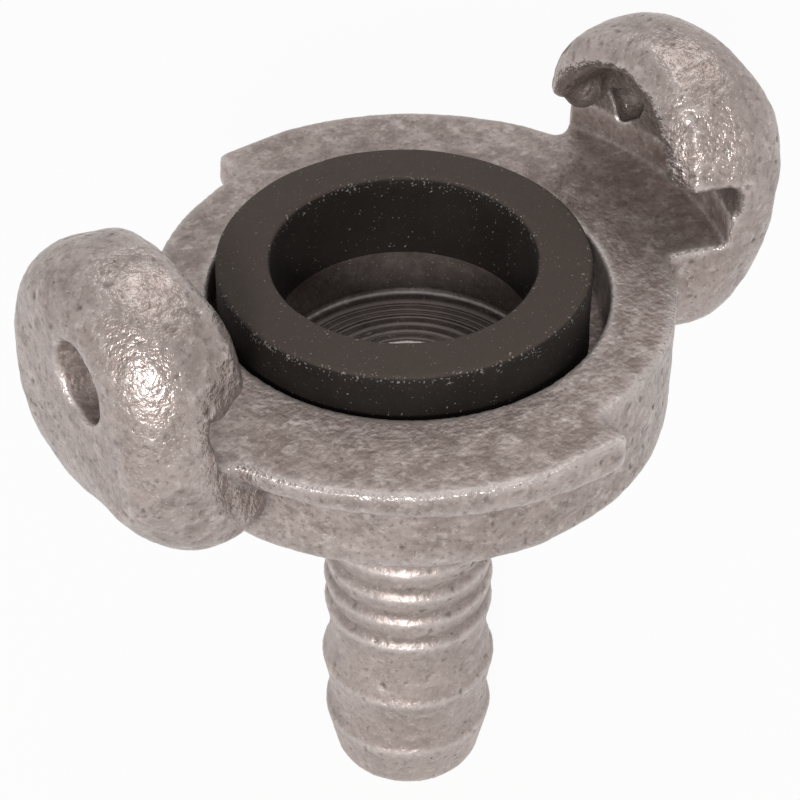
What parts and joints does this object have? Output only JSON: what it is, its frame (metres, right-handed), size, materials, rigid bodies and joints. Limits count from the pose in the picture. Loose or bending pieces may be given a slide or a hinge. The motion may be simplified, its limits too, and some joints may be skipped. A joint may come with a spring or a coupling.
{
  "type": "quarter-turn hose coupling",
  "caption": "Two-claw quarter-turn hose coupling half, cast with a ribbed hose tail, with a loose rubber sealing ring in its face.",
  "frame": {"origin": "centre of the hose tail's end face", "axes": "+Z along the flow axis from the hose tail to the sealing face, X through the two claws"},
  "size_m": [0.061, 0.0476, 0.0654],
  "materials": {
    "cast_metal": "dull zinc on sand-cast surface, turned sealing face",
    "seal_rubber": "matt black rubber with fine pale dust"
  },
  "bodies": {
    "root": {"coupling_body": "cast_metal", "seal_ring": "seal_rubber"}
  },
  "joints": []
}
